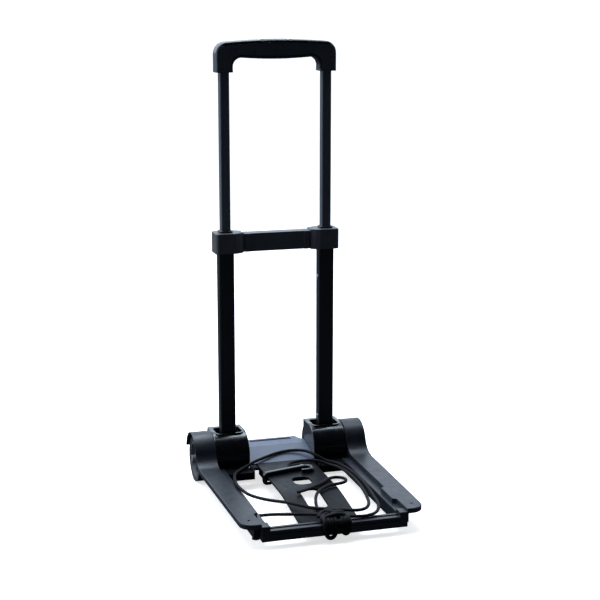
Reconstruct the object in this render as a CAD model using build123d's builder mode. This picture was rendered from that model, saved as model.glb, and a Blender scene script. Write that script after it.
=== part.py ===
from build123d import *
import math
import os

# Folding luggage cart. Millimetres, +Z up, the toe of the platform towards -Y.
# The origin is on the floor, under the middle of the cart's footprint.
# Helper planes put y = 0 on the hinge line between the frame and the platform.

# Driving dimensions
HEIGHT = 940.0          # floor to the top of the handle, fully out
HINGE_Y = 180.0         # hinge line behind the middle of the footprint
HINGE_Z = 58.0          # hinge line above the floor
TUBE_X = 110.0          # centre of each tube from the middle of the cart
FRONT = -423.5          # front face of the platform
BACK = 63.5             # rear edge of the rear panel

OUTER_W, OUTER_D, OUTER_R, OUTER_WALL = 33.0, 25.0, 3.5, 1.5
OUTER_BOTTOM, OUTER_TOP = 68.0, 523.8
INNER_W, INNER_D, INNER_R, INNER_WALL = 20.5, 20.0, 3.0, 1.3
INNER_BOTTOM, INNER_TOP = 444.0, 905.0
TUBE_FIT = 0.1          # gap on each side between a tube and its socket

SOCKET_IN, SOCKET_OUT, SOCKET_R = 72.0, 146.4, 49.0
SOCKET_TOP = 106.5      # rim of the socket's mouth
FENDER_IN, WEB_OUT, FENDER_OUT, FENDER_R = 147.0, 155.5, 190.6, 50.0
FENDER_WALL = 3.0

WHEEL_R, WHEEL_IN, WHEEL_OUT = 48.0, 157.0, 184.0
AXLE_Y, AXLE_Z, AXLE_R = 2.0, 48.0, 4.0
PIN_R = 4.5

WING_TOP, WING_THICK, WING_TIP = 50.0, 10.0, 185.0
RAIL_IN, RAIL_OUT, RAIL_TOP, BASE_BOTTOM = 131.0, 158.0, 39.8, 14.0
DECK_TOP, TONGUE_TOP, TONGUE_HALF = 37.0, 45.0, 61.0
DECK_BACK, BEND = -57.0, -232.0
BAR_BACK, BAR_TOP = -400.0, 36.0
FOOT_R, FOOT_X, FOOT_Y = 8.0, 144.5, -365.0

BRACKET_BOTTOM, BRACKET_TOP = 498.0, 541.0
GRIP_BOTTOM, GRIP_DEPTH, GRIP_OUT, GRIP_IN = 873.5, 34.0, 129.0, 92.5

TRAVEL = 4.0            # how far the button, and so each lock pin, moves
LOCK_Z, LOWER_LOCK_Z = 434.0, 122.0
BUSH_R, BUSH_BORE = 4.5, 3.5
CORD_D = 6.5
SCREW_R = 1.8

os.makedirs("parts", exist_ok=True)


def level(z):
    """A horizontal plane: x is X, and y is measured from the hinge line."""
    return Plane(origin=(0, HINGE_Y, z))


def across(x):
    """A plane across X with its origin on the hinge line: x is Y and y is Z."""
    return Plane(origin=(x, HINGE_Y, HINGE_Z), x_dir=(0, 1, 0), z_dir=(1, 0, 0))


def facing(y):
    """A plane that faces the front: x is X, y is the height above the floor."""
    return Plane(origin=(0, HINGE_Y + y, 0), x_dir=(1, 0, 0), z_dir=(0, -1, 0))


def save(piece, name):
    """Labels a finished piece and writes it."""
    piece.part.label = name
    export_step(piece.part, f"parts/{name}.step")


def save_pair(piece, name):
    """Writes a right-hand piece and its mirror image."""
    save(piece, f"right_{name}")
    with BuildPart() as other:
        mirror(piece.part, about=Plane.YZ)
    save(other, f"left_{name}")


def add_box(x, y, z, mode=Mode.ADD):
    """Adds a box, given as three (low, high) pairs, y from the hinge line."""
    with BuildSketch(level(z[0])) as base:
        with Locations(((x[0] + x[1]) / 2, (y[0] + y[1]) / 2)):
            Rectangle(x[1] - x[0], y[1] - y[0])
    extrude(base.sketch, amount=z[1] - z[0], mode=mode)


def cut_box(x, y, z):
    """Cuts a box, given as three (low, high) pairs, y from the hinge line."""
    add_box(x, y, z, Mode.SUBTRACT)


def side_screw_hole(x, z, y, radius, depth):
    """Cuts a round hole along Y, from y towards the front."""
    with BuildSketch(facing(y)) as hole:
        with Locations((x, z)):
            Circle(radius)
    extrude(hole.sketch, amount=depth, mode=Mode.SUBTRACT)


# ---------------------------------------------------------------- frame
TUBE_SCREW_Z = 88.0
BRACKET_SCREW_Z = 510.0
PANEL_SCREWS = ((-24.0, -16.0), (24.0, -16.0))

with BuildPart() as socket:
    with BuildSketch(across(SOCKET_IN)):
        Circle(SOCKET_R)
        with Locations((18.5, 4.25)):
            Rectangle(37.0, 88.5)
    extrude(amount=SOCKET_OUT - SOCKET_IN)
    fillet(socket.faces().filter_by(Axis.X).edges(), 2.0)
    with BuildSketch(level(92.5)):
        with Locations((109.0, 4.0)):
            RectangleRounded(64.0, 52.0, 12.0)
    extrude(amount=SOCKET_TOP - 92.5)
    with BuildSketch(level(92.5)):
        with Locations((109.0, 4.0)):
            RectangleRounded(57.0, 45.0, 9.0)
    extrude(amount=20.0, mode=Mode.SUBTRACT)
    cut_box((76.0, 97.0), (-30.0, 33.0), (5.0, 60.0))
    cut_box((97.0, 142.0), (-30.0, -12.0), (5.0, 60.0))
    cut_box((97.0, 142.0), (12.0, 33.0), (5.0, 60.0))
    with BuildSketch(level(OUTER_BOTTOM)):
        with Locations((TUBE_X, 0)):
            RectangleRounded(OUTER_W + 2 * TUBE_FIT, OUTER_D + 2 * TUBE_FIT, OUTER_R)
    extrude(amount=40.0, mode=Mode.SUBTRACT)
    with BuildSketch(across(100.0)):
        Circle(PIN_R)
    extrude(amount=60.0, mode=Mode.SUBTRACT)
    side_screw_hole(TUBE_X, TUBE_SCREW_Z, 40.0, SCREW_R + 0.1, 29.0)
    side_screw_hole(TUBE_X, TUBE_SCREW_Z, 40.0, 4.5, 7.0)
    with BuildSketch(across(SOCKET_IN - 1.0)):
        with Locations(*PANEL_SCREWS):
            Circle(SCREW_R)
    extrude(amount=10.0, mode=Mode.SUBTRACT)
save_pair(socket, "socket")

with BuildPart() as outer_tube:
    with BuildSketch(level(OUTER_BOTTOM)):
        with Locations((TUBE_X, 0)):
            RectangleRounded(OUTER_W, OUTER_D, OUTER_R)
            RectangleRounded(OUTER_W - 2 * OUTER_WALL, OUTER_D - 2 * OUTER_WALL, OUTER_R - OUTER_WALL, mode=Mode.SUBTRACT)
    extrude(amount=OUTER_TOP - OUTER_BOTTOM)
    with BuildSketch(Plane(origin=(TUBE_X - 20, HINGE_Y, 0), x_dir=(0, 1, 0), z_dir=(1, 0, 0))):
        with Locations((0, LOCK_Z), (0, LOWER_LOCK_Z)):
            Circle(BUSH_R)
    extrude(amount=12.0, mode=Mode.SUBTRACT)
    side_screw_hole(TUBE_X, TUBE_SCREW_Z, 14.0, SCREW_R + 0.1, 6.0)
    side_screw_hole(TUBE_X, BRACKET_SCREW_Z, 14.0, SCREW_R + 0.1, 6.0)
save_pair(outer_tube, "outer_tube")

# Headed bushes in the inner side of each outer tube, at both ends of the handle's travel.
# Each lock pin springs into the collar inside the tube, and runs free of the wall between them.
with BuildPart() as lock_bush:
    for z in (LOCK_Z, LOWER_LOCK_Z):
        bush_plane = Plane(origin=(0, HINGE_Y, z), x_dir=(1, 0, 0), z_dir=(0, -1, 0))
        with BuildSketch(bush_plane):
            with BuildLine():
                Polyline((92.5, BUSH_BORE), (92.5, 5.0), (93.0, 5.5), (93.5, 5.5), (93.5, BUSH_R),
                         (95.0, BUSH_R), (95.0, 6.0), (97.2, 6.0), (97.2, BUSH_BORE), close=True)
            make_face()
        revolve(axis=Axis((0, HINGE_Y, z), (1, 0, 0)))
save_pair(lock_bush, "lock_bushes")

with BuildPart() as bracket:
    with BuildSketch(level(499.5)):
        Rectangle(156.0, 26.0)
        Rectangle(140.0, 30.0)
        Rectangle(118.0, 40.0, mode=Mode.SUBTRACT)
        Rectangle(118.0, 26.0)
    extrude(amount=38.5)
    with BuildSketch(level(BRACKET_BOTTOM)) as boss_plan:
        for sign in (1, -1):
            with BuildLine():
                Polyline((sign * 74, -14), (sign * 83, -20.5), (sign * 92, -24), (sign * 135, -24),
                         (sign * 135, 24), (sign * 92, 24), (sign * 83, 20.5), (sign * 74, 14), close=True)
            make_face()
        fillet(boss_plan.vertices().filter_by(lambda v: abs(v.X) > 130), 8.0)
    extrude(amount=BRACKET_TOP - BRACKET_BOTTOM)
    fillet(bracket.faces().sort_by(Axis.Z)[-2:].edges(), 1.6)
    for sign in (1, -1):
        with BuildSketch(level(BRACKET_BOTTOM)):
            with Locations((sign * TUBE_X, 0)):
                RectangleRounded(OUTER_W + 2 * TUBE_FIT, OUTER_D + 2 * TUBE_FIT, OUTER_R)
        extrude(amount=26.0, mode=Mode.SUBTRACT)
        with BuildSketch(level(BRACKET_BOTTOM + 20.0)):
            with Locations((sign * TUBE_X, 0)):
                RectangleRounded(26.2, 25.2, 5.0)
        extrude(amount=30.0, mode=Mode.SUBTRACT)
        side_screw_hole(sign * TUBE_X, BRACKET_SCREW_Z, 26.0, SCREW_R + 0.1, 16.0)
        side_screw_hole(sign * TUBE_X, BRACKET_SCREW_Z, 26.0, 4.0, 5.0)
    for middle in (-44.0, -15.0, 15.0, 44.0):
        cut_box((middle - 12.5, middle + 12.5), (-9.0, 20.0), (503.5, 534.0))
save(bracket, "mid_bracket")

with BuildPart() as guide:
    with BuildSketch(level(OUTER_TOP + 0.2)):
        with Locations((TUBE_X, 0)):
            RectangleRounded(26.0, 25.0, 5.0)
    extrude(amount=BRACKET_TOP - OUTER_TOP)
    with BuildSketch(level(BRACKET_TOP)):
        with Locations((TUBE_X, 0)):
            RectangleRounded(29.5, 29.0, 8.0)
    extrude(amount=4.0)
    fillet(guide.faces().sort_by(Axis.Z)[-1].edges(), 1.2)
    with BuildSketch(level(OUTER_TOP - 5)):
        with Locations((TUBE_X, 0)):
            RectangleRounded(INNER_W + 0.5, INNER_D + 0.5, INNER_R)
    extrude(amount=40.0, mode=Mode.SUBTRACT)
save_pair(guide, "tube_guide")

# The rear panel bridges the sockets: a sloping face, a ledge and a rear skirt.
PANEL_SKIN = 3.5
with BuildPart() as panel:
    with BuildSketch(across(-SOCKET_IN + 0.2)):
        with BuildLine():
            Polyline((-52.0, -15.5), (14.0, 2.0), (BACK, 2.0), (BACK, -30.0),
                     (BACK - PANEL_SKIN, -30.0), (BACK - PANEL_SKIN, 2.0 - PANEL_SKIN),
                     (14.5, 2.0 - PANEL_SKIN), (-52.0, -19.1), close=True)
        make_face()
    extrude(amount=2 * SOCKET_IN - 0.4)
    for sign in (1, -1):
        add_box(sorted((sign * 68.0, sign * 71.8)), (-32.0, 32.0), (36.0, 56.0))
    with BuildSketch(across(-80.0)):
        with BuildLine():
            Polyline((-60.0, -17.6), (14.0, 2.0), (BACK + 5, 2.0), (BACK + 5, 20.0), (-60.0, 20.0), close=True)
        make_face()
    extrude(amount=160.0, mode=Mode.SUBTRACT)
    for x in (-40.0, 0.0, 40.0):
        with BuildSketch(across(x - 1.2)):
            with BuildLine():
                Polyline((-30.0, -14.0), (14.0, -1.6), (BACK - PANEL_SKIN, -1.6),
                         (BACK - PANEL_SKIN, -28.0), (20.0, -14.0), close=True)
            make_face()
        extrude(amount=2.4)
    for sign in (1, -1):
        with BuildSketch(level(0)):
            with BuildLine():
                Polyline((sign * 73, 32), (sign * 62, BACK - 8), (sign * 60, BACK + 2),
                         (sign * 80, BACK + 2), (sign * 80, 32), close=True)
            make_face()
        extrude(amount=80.0, mode=Mode.SUBTRACT)
    cut_box((-47.0, 47.0), (42.0, 55.0), (58.2, 64.0))
    with BuildSketch(across(-SOCKET_IN)):
        with Locations(*PANEL_SCREWS):
            Circle(SCREW_R + 0.2)
    extrude(amount=2 * SOCKET_IN, mode=Mode.SUBTRACT)
save(panel, "rear_panel")

with BuildPart() as hinge_pin:
    with BuildSketch(across(100.2)):
        Circle(PIN_R)
    extrude(amount=54.1)
save_pair(hinge_pin, "hinge_pin")


def screw_along_y(x, z, head_back, tip):
    """A pan-head screw along Y, its head outwards at the back."""
    with BuildSketch(facing(head_back)) as head:
        with Locations((x, z)):
            Circle(3.4)
    extrude(head.sketch, amount=2.4)
    with BuildSketch(facing(head_back - 2.4)) as shank:
        with Locations((x, z)):
            Circle(SCREW_R)
    extrude(shank.sketch, amount=head_back - 2.4 - tip)
    with BuildSketch(facing(head_back)) as cross:
        with Locations((x, z)):
            Rectangle(4.4, 0.9)
            Rectangle(0.9, 4.4)
    extrude(cross.sketch, amount=1.2, mode=Mode.SUBTRACT)


with BuildPart() as tube_screws:
    for sign in (1, -1):
        screw_along_y(sign * TUBE_X, TUBE_SCREW_Z, 35.4, 10.8)
        screw_along_y(sign * TUBE_X, BRACKET_SCREW_Z, 23.4, 10.8)
save(tube_screws, "tube_screws")

with BuildPart() as panel_screws:
    for sign in (1, -1):
        for y, z in PANEL_SCREWS:
            inner = Plane(origin=(sign * 65.6, HINGE_Y + y, HINGE_Z + z), x_dir=(0, 1, 0), z_dir=(sign, 0, 0))
            with BuildSketch(inner):
                Circle(3.4)
            extrude(amount=2.4)
            with BuildSketch(inner):
                Circle(SCREW_R)
            extrude(amount=14.0)
save(panel_screws, "panel_screws")

# ---------------------------------------------------------------- platform
FLARE_R = 38.0
WING_RISE = WING_TOP - HINGE_Z
FLARE_Z = WING_RISE + FLARE_R
FLARE_Y = -math.sqrt((FENDER_R + FLARE_R) ** 2 - FLARE_Z**2)
TANGENT = FENDER_R / (FENDER_R + FLARE_R)
TANGENT_Y, TANGENT_Z = FLARE_Y * TANGENT, FLARE_Z * TANGENT
FLARE_MID = math.radians(-62.0)
BUMP = (-290.0, -355.0)
WING_SCREW_X = 150.5
WING_SCREW_YS = (-95.0, -180.0, -265.0, -340.0)
EYELET = (166.0, -393.0)

with BuildPart() as wing:
    with BuildSketch(level(WING_TOP - WING_THICK)) as wing_plan:
        with BuildLine():
            Polyline((FENDER_IN, -50.0), (FENDER_OUT, -50.0), (FENDER_OUT, -60.0), (WING_TIP, -420.0),
                     (FENDER_IN, -420.0), (FENDER_IN, BUMP[1] - 6), (139.0, BUMP[1]),
                     (139.0, BUMP[0]), (FENDER_IN, BUMP[0] + 6), close=True)
        make_face()
        fillet(wing_plan.vertices().filter_by(lambda v: v.X > 180 and v.Y < -400 + HINGE_Y), 27.0)
    extrude(amount=WING_THICK)
    fillet(wing.faces().sort_by(Axis.Z)[-1].edges().filter_by(lambda e: e.center().Y < HINGE_Y - 52), 1.5)
    with BuildSketch(across(FENDER_IN)):
        Circle(FENDER_R)
    extrude(amount=WEB_OUT - FENDER_IN)
    with BuildSketch(across(FENDER_IN)):
        with BuildLine():
            Line((FLARE_Y - 10, WING_RISE - 4), (FLARE_Y, WING_RISE))
            ThreePointArc(
                (FLARE_Y, WING_RISE),
                (FLARE_Y - FLARE_R * math.sin(FLARE_MID / 2), FLARE_Z - FLARE_R * math.cos(FLARE_MID / 2)),
                (TANGENT_Y, TANGENT_Z),
            )
            Polyline((TANGENT_Y, TANGENT_Z), (0, 0), (-40.0, -18.0), (FLARE_Y - 10, -18.0),
                     (FLARE_Y - 10, WING_RISE - 4))
        make_face()
    extrude(amount=FENDER_OUT - FENDER_IN)
    with BuildSketch(across(FENDER_IN)):
        with BuildLine():
            roof = CenterArc((0, 0), FENDER_R, 10.0, 180.0)
            Line(roof @ 1, (0, 0))
            Line((0, 0), roof @ 0)
        make_face()
    extrude(amount=FENDER_OUT - FENDER_IN)
    with BuildSketch(across(WEB_OUT)):
        Circle(FENDER_R - FENDER_WALL)
        with Locations((AXLE_Y, AXLE_Z - HINGE_Z)):
            Circle(WHEEL_R + 1.5)
        with Locations((0, -40.0)):
            Rectangle(60.0, 60.0)
    extrude(amount=60.0, mode=Mode.SUBTRACT)
    for middle in (-112.0, -168.0, -224.0, -280.0, -336.0):
        cut_box((160.0, 181.0), (middle - 26.5, middle + 26.5), (39.0, 46.5))
    with BuildSketch(across(FENDER_IN - 1.0)):
        Circle(PIN_R + 0.05)
    extrude(amount=8.5, mode=Mode.SUBTRACT)
    with BuildSketch(across(FENDER_IN + 0.8)):
        with Locations((AXLE_Y, AXLE_Z - HINGE_Z)):
            Circle(AXLE_R)
    extrude(amount=20.0, mode=Mode.SUBTRACT)
    with BuildSketch(level(30.0)):
        with Locations(EYELET):
            Circle(2.6)
    extrude(amount=40.0, mode=Mode.SUBTRACT)
    with BuildSketch(level(39.0)):
        with Locations(*[(WING_SCREW_X, y) for y in WING_SCREW_YS]):
            Circle(SCREW_R)
    extrude(amount=7.0, mode=Mode.SUBTRACT)
save_pair(wing, "wing")

with BuildPart() as rail:
    with BuildSketch(facing(-60.0)):
        with Locations(((RAIL_IN + RAIL_OUT) / 2, (BASE_BOTTOM + RAIL_TOP) / 2)):
            Rectangle(RAIL_OUT - RAIL_IN, RAIL_TOP - BASE_BOTTOM)
        with Locations(((RAIL_IN + RAIL_OUT) / 2, (BASE_BOTTOM + RAIL_TOP) / 2 - 4.0)):
            Rectangle(RAIL_OUT - RAIL_IN - 7.0, RAIL_TOP - BASE_BOTTOM, mode=Mode.SUBTRACT)
    extrude(amount=-BAR_BACK - 60.2)
    fillet(rail.edges().filter_by(Axis.Y).filter_by(
        lambda e: e.center().X < RAIL_IN + 0.1 and e.center().Z > RAIL_TOP - 0.1), 1.5)
    for y in (-61.0, -137.0, -222.0, -300.0, -398.0):
        add_box((RAIL_IN + 1, RAIL_OUT - 1), (y - 1.5, y + 1.0), (BASE_BOTTOM + 2, RAIL_TOP - 1))
    add_box((RAIL_IN + 1, RAIL_OUT - 1), (FOOT_Y - 10, FOOT_Y + 10), (BASE_BOTTOM, RAIL_TOP - 1))
    with BuildSketch(level(30.0)):
        with Locations(*[(WING_SCREW_X, y) for y in WING_SCREW_YS]):
            Circle(SCREW_R + 0.2)
    extrude(amount=20.0, mode=Mode.SUBTRACT)
    with BuildSketch(level(BASE_BOTTOM)):
        with Locations((FOOT_X, FOOT_Y)):
            Circle(4.0)
    extrude(amount=8.0, mode=Mode.SUBTRACT)
save_pair(rail, "side_rail")

PLATE = 4.5             # thickness of the tongue
LEG_FRONT, LEG_IN, LEG_LOW = -88.0, 72.0, 21.0
with BuildPart() as deck:
    with BuildSketch(across(-TONGUE_HALF)):
        with BuildLine():
            Polyline((BEND, TONGUE_TOP - PLATE - HINGE_Z), (DECK_BACK, TONGUE_TOP - PLATE - HINGE_Z),
                     (DECK_BACK, TONGUE_TOP - HINGE_Z), (BEND, TONGUE_TOP - HINGE_Z))
            Bezier((BEND, TONGUE_TOP - HINGE_Z), (-275.0, TONGUE_TOP - 0.6 - HINGE_Z),
                   (-330.0, 33.0 - HINGE_Z), (BAR_BACK + 0.2, 24.0 - HINGE_Z))
            Line((BAR_BACK + 0.2, 24.0 - HINGE_Z), (BAR_BACK + 0.2, 24.0 - PLATE - HINGE_Z))
            Bezier((BAR_BACK + 0.2, 24.0 - PLATE - HINGE_Z), (-328.0, 33.0 - PLATE - HINGE_Z),
                   (-273.0, TONGUE_TOP - 0.6 - PLATE - HINGE_Z), (BEND, TONGUE_TOP - PLATE - HINGE_Z))
        make_face()
    extrude(amount=2 * TONGUE_HALF)
    fillet(deck.edges().filter_by(lambda e: abs(abs(e.center().X) - TONGUE_HALF) < 0.1
                                  and e.center().Z > 20.0 and e.length > 30.0), 1.5)
    add_box((-55.5, 55.5), (-107.0, DECK_BACK), (LEG_LOW, TONGUE_TOP - 1.0))
    cut_box((-52.5, 52.5), (-104.0, DECK_BACK - 3), (LEG_LOW - 5, TONGUE_TOP - PLATE))
    add_box((-76.0, 76.0), (-75.0, DECK_BACK), (36.0, 41.5))
    for sign in (1, -1):
        add_box(sorted((sign * LEG_IN, sign * (RAIL_IN - 0.2))), (LEG_FRONT, DECK_BACK), (LEG_LOW, DECK_TOP))
        add_box(sorted((sign * LEG_IN, sign * (LEG_IN + 3))), (LEG_FRONT, DECK_BACK), (LEG_LOW, 40.0))
        cut_box(sorted((sign * (LEG_IN + 3), sign * (RAIL_IN - 3.2))), (LEG_FRONT + 3, DECK_BACK - 3),
                (LEG_LOW - 5, DECK_TOP - 3))
        add_box(sorted((sign * 101.0, sign * 103.0)), (LEG_FRONT + 2, DECK_BACK - 2), (LEG_LOW + 2, DECK_TOP - 2))
    with BuildSketch(level(10.0)):
        with Locations((-2.0, -283.0)):
            RectangleRounded(40.0, 86.0, 12.0)
        with Locations((2.0, -189.0)):
            RectangleRounded(38.0, 46.0, 15.0)
    extrude(amount=50.0, mode=Mode.SUBTRACT)
    for x in (-26.0, 26.0):
        add_box((x - 1.2, x + 1.2), (-105.0, DECK_BACK - 2), (LEG_LOW + 2, TONGUE_TOP - PLATE + 1))
    for y in (-140.0, -158.0, -222.0):
        add_box((-TONGUE_HALF + 6, TONGUE_HALF - 6), (y - 1.2, y + 1.2), (34.0, TONGUE_TOP - PLATE + 1))
save(deck, "deck")

POST_IN, POST_OUT, POST_TOP = 131.2, 146.8, 45.0
with BuildPart() as front_bar:
    add_box((-POST_OUT, POST_OUT), (FRONT, BAR_BACK), (BASE_BOTTOM, BAR_TOP))
    for sign in (1, -1):
        add_box(sorted((sign * POST_IN, sign * POST_OUT)), (FRONT, BAR_BACK), (BASE_BOTTOM, POST_TOP))
    fillet(front_bar.edges().filter_by(Axis.X).filter_by(
        lambda e: e.center().Y < HINGE_Y + FRONT + 0.1), 1.6)
    cut_box((-POST_IN, POST_IN), (-413.5, -406.5), (31.5, 37.0))
    cut_box((-POST_OUT + 4, POST_OUT - 4), (FRONT + 4, BAR_BACK - 4), (10.0, 27.5))
    with BuildSketch(facing(FRONT + 1.2)):
        with Locations((0, 29.0)):
            Rectangle(2 * POST_IN, 1.4)
    extrude(amount=3.0, mode=Mode.SUBTRACT)
save(front_bar, "front_bar")

with BuildPart() as front_feet:
    with BuildSketch(level(0)):
        with Locations((FOOT_X, FOOT_Y), (-FOOT_X, FOOT_Y)):
            Circle(FOOT_R)
    extrude(amount=BASE_BOTTOM, taper=8)
    with BuildSketch(level(BASE_BOTTOM)):
        with Locations((FOOT_X, FOOT_Y), (-FOOT_X, FOOT_Y)):
            Circle(3.9)
    extrude(amount=7.5)
save(front_feet, "front_feet")


def screws_up(places, head_bottom, tip):
    """Pan-head screws along Z, heads down."""
    with BuildSketch(level(head_bottom)) as heads:
        with Locations(*places):
            Circle(3.4)
    extrude(heads.sketch, amount=2.2)
    with BuildSketch(level(head_bottom + 2.2)) as shanks:
        with Locations(*places):
            Circle(SCREW_R)
    extrude(shanks.sketch, amount=tip - head_bottom - 2.2)
    with BuildSketch(level(head_bottom)) as crosses:
        with Locations(*places):
            Rectangle(4.4, 0.9)
            Rectangle(0.9, 4.4)
    extrude(crosses.sketch, amount=1.2, mode=Mode.SUBTRACT)


with BuildPart() as wing_screws:
    screws_up([(sign * WING_SCREW_X, y) for sign in (1, -1) for y in WING_SCREW_YS], RAIL_TOP - 6.2, 45.8)
save(wing_screws, "wing_screws")

# Wheels: a tyre on a dished hub, turning on a steel stub axle with a clip and a cap.
wheel_plane = Plane(origin=(WHEEL_IN, HINGE_Y + AXLE_Y, AXLE_Z), x_dir=(0, 1, 0), z_dir=(1, 0, 0))
WHEEL_W = WHEEL_OUT - WHEEL_IN
RIM_R = 38.0
wheel_axis = Axis((0, HINGE_Y + AXLE_Y, AXLE_Z), (1, 0, 0))
wheel_section = Plane(origin=(WHEEL_IN, HINGE_Y + AXLE_Y, AXLE_Z), x_dir=(1, 0, 0), z_dir=(0, -1, 0))

with BuildPart() as tyre:
    with BuildSketch(wheel_section) as tyre_section:
        with Locations((WHEEL_W / 2, (WHEEL_R + RIM_R) / 2)):
            Rectangle(WHEEL_W, WHEEL_R - RIM_R)
        fillet(tyre_section.vertices().filter_by(lambda v: v.Z > AXLE_Z + WHEEL_R - 1), 5.0)
    revolve(axis=wheel_axis)
save_pair(tyre, "tyre")

with BuildPart() as hub:
    with BuildSketch(wheel_section):
        with BuildLine():
            Polyline((0.6, AXLE_R + 0.06), (0.6, 10.0), (9.0, 11.0), (9.0, 33.0), (1.0, 34.0), (1.0, RIM_R),
                     (26.0, RIM_R), (26.0, 34.0), (15.0, 33.0), (15.0, 12.0), (27.0, 10.0),
                     (27.0, AXLE_R + 0.06), close=True)
        make_face()
    revolve(axis=wheel_axis)
    with BuildSketch(wheel_plane):
        with PolarLocations(22.0, 5, 90.0):
            Circle(6.5)
    extrude(amount=40.0, mode=Mode.SUBTRACT)
save_pair(hub, "hub")

with BuildPart() as axle:
    with BuildSketch(Plane(origin=(FENDER_IN + 0.9, 0, 0), x_dir=(0, 1, 0), z_dir=(1, 0, 0))):
        with Locations((HINGE_Y + AXLE_Y, AXLE_Z)):
            Circle(AXLE_R)
    extrude(amount=187.0 - FENDER_IN - 0.9)
save_pair(axle, "axle")

with BuildPart() as axle_cap:
    with BuildSketch(Plane(origin=(WHEEL_OUT + 0.4, 0, 0), x_dir=(0, 1, 0), z_dir=(1, 0, 0))):
        with Locations((HINGE_Y + AXLE_Y, AXLE_Z)):
            Circle(9.0)
    extrude(amount=4.8)
    fillet(axle_cap.faces().sort_by(Axis.X)[-1].edges(), 2.0)
    with BuildSketch(Plane(origin=(WHEEL_OUT, 0, 0), x_dir=(0, 1, 0), z_dir=(1, 0, 0))):
        with Locations((HINGE_Y + AXLE_Y, AXLE_Z)):
            Circle(AXLE_R)
    extrude(amount=3.0, mode=Mode.SUBTRACT)
save_pair(axle_cap, "axle_cap")

# ---------------------------------------------------------------- handle
with BuildPart() as inner_tube:
    with BuildSketch(level(INNER_BOTTOM)):
        with Locations((TUBE_X, 0)):
            RectangleRounded(INNER_W, INNER_D, INNER_R)
            RectangleRounded(INNER_W - 2 * INNER_WALL, INNER_D - 2 * INNER_WALL, INNER_R - INNER_WALL, mode=Mode.SUBTRACT)
    extrude(amount=INNER_TOP - INNER_BOTTOM)
    side_screw_hole(TUBE_X, 888.0, 12.0, SCREW_R + 0.1, 6.0)
save_pair(inner_tube, "inner_tube")

# The plug at the foot of each inner tube guides it and houses the lock pin.
PLUG_W, PLUG_D = 27.2, 21.4
PLUG_X = TUBE_X + 1.1   # set off from the middle, so that it passes the bushes
PIN_W, PIN_H = 7.0, 10.0
PIN_X = 99.6            # inner end of the lock pin's body, where its nose starts
with BuildPart() as plug:
    with BuildSketch(level(421.0)):
        with Locations((PLUG_X, 0)):
            RectangleRounded(PLUG_W, PLUG_D, 3.0)
    extrude(amount=INNER_BOTTOM - 421.0)
    with BuildSketch(level(INNER_BOTTOM)):
        with Locations((TUBE_X, 0)):
            RectangleRounded(17.4, 17.0, 1.6)
    extrude(amount=22.0)
    with BuildSketch(level(430.0)):
        with Locations((TUBE_X, 0)):
            Circle(2.4)
    extrude(amount=50.0, mode=Mode.SUBTRACT)
    cut_box((PIN_X - 0.2, 121.8), (-PIN_W / 2 - 0.2, PIN_W / 2 + 0.2), (420.0, LOCK_Z + PIN_H / 2 + 0.2))
    with BuildSketch(Plane(origin=(90.0, HINGE_Y, LOCK_Z), x_dir=(0, 1, 0), z_dir=(1, 0, 0))):
        Circle(3.4)
    extrude(amount=15.0, mode=Mode.SUBTRACT)
save_pair(plug, "guide_plug")

with BuildPart() as plug_base:
    with BuildSketch(level(416.0)):
        with Locations((PLUG_X, 0)):
            RectangleRounded(PLUG_W, PLUG_D, 3.0)
    extrude(amount=5.0)
    add_box((PIN_X, 121.6), (-PIN_W / 2, PIN_W / 2), (420.5, LOCK_Z - PIN_H / 2 - 0.3))
save_pair(plug_base, "plug_base")

ROD_R = 2.0
ROD_TIP = 435.4
lock_plane = Plane(origin=(0, HINGE_Y + PIN_W / 2, 0), x_dir=(1, 0, 0), z_dir=(0, -1, 0))
with BuildPart() as lock_pin:
    with BuildSketch(lock_plane):
        with BuildLine():
            Polyline((PIN_X, LOCK_Z - 5), (117.0, LOCK_Z - 5), (117.0, LOCK_Z + 5),
                     (111.8, LOCK_Z + 5), (TUBE_X - 6.4, ROD_TIP - 4.7), (TUBE_X - 6.6, LOCK_Z + 5),
                     (PIN_X, LOCK_Z + 5), close=True)
        make_face()
    extrude(amount=PIN_W)
    with BuildSketch(Plane(origin=(PIN_X, HINGE_Y, LOCK_Z), x_dir=(0, 1, 0), z_dir=(-1, 0, 0))):
        Circle(3.2)
    extrude(amount=4.3)
    fillet(lock_pin.faces().sort_by(Axis.X)[0].edges(), 1.2)
    with BuildSketch(Plane(origin=(112.6, HINGE_Y, LOCK_Z - 1.6), x_dir=(0, 1, 0), z_dir=(1, 0, 0))):
        Circle(2.3)
    extrude(amount=8.0, mode=Mode.SUBTRACT)
save_pair(lock_pin, "lock_pin")


def coil(start_at, direction, radius, wire, length, turns):
    """A round coil spring."""
    with BuildLine() as path:
        Helix(length / turns, length, radius, center=start_at, direction=direction)
    start = Plane(origin=path.line @ 0, z_dir=path.line % 0)
    with BuildSketch(start) as section:
        Circle(wire)
    sweep(section.sketch, path=path.line, is_frenet=True)


with BuildPart() as lock_spring:
    coil((113.2, HINGE_Y, LOCK_Z - 1.6), (1, 0, 0), 1.5, 0.35, 7.8, 5)
save_pair(lock_spring, "lock_spring")

with BuildPart() as push_rod:
    with BuildSketch(level(ROD_TIP)):
        with Locations((TUBE_X, 0)):
            Circle(ROD_R)
    extrude(amount=912.0 - ROD_TIP)
    with BuildSketch(facing(5.0)):
        with BuildLine():
            Polyline((TUBE_X - ROD_R, ROD_TIP), (TUBE_X + 4, ROD_TIP + 6), (TUBE_X + 4, ROD_TIP - 1),
                     (TUBE_X - ROD_R, ROD_TIP - 1), close=True)
        make_face()
    extrude(amount=10.0, mode=Mode.SUBTRACT)
save_pair(push_rod, "push_rod")

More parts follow.
